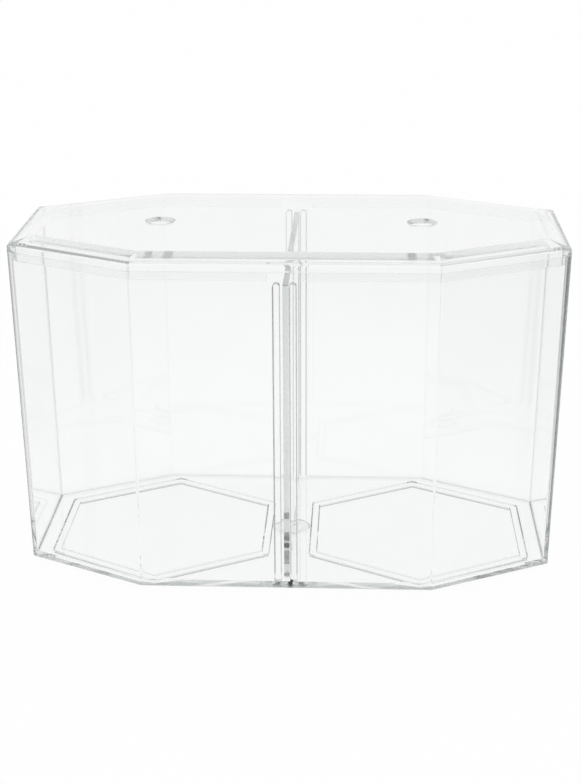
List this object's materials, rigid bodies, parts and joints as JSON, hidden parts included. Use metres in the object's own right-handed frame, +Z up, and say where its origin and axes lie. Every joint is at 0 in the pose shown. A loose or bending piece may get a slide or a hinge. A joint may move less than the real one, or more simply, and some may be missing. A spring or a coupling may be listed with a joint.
{
  "type": "divided fish tank",
  "caption": "Clear eight-sided desktop fish tank with a lift-off lid pierced by round feeding holes and a removable divider sheet that slides down between guide ribs.",
  "frame": {"origin": "on the surface the tank stands on, under the middle of the tank", "axes": "+X along the length, +Y from the front wall to the back wall, +Z up"},
  "size_m": [0.216, 0.1166, 0.1366],
  "materials": {
    "tank_clear": "clear moulded polystyrene, polished",
    "lid_clear": "clear moulded polystyrene, polished",
    "divider_clear": "clear sheet with polished faces and duller cut edges"
  },
  "bodies": {
    "tank": {"tank": "tank_clear"},
    "lid": {"lid_plate": "lid_clear", "lid_rim": "lid_clear"},
    "divider": {"divider": "divider_clear"}
  },
  "joints": [
    {"name": "lid_lift", "type": "slide", "parent": "tank", "child": "lid", "axis": [0, 0, 1], "range_m": [0, 0.3]},
    {"name": "divider_lift", "type": "slide", "parent": "tank", "child": "divider", "axis": [0, 0, 1], "range_m": [0, 0.15]}
  ],
  "couplings": [
    {"joint": "divider_lift", "follows": "lid_lift", "ratio": 0.5}
  ]
}
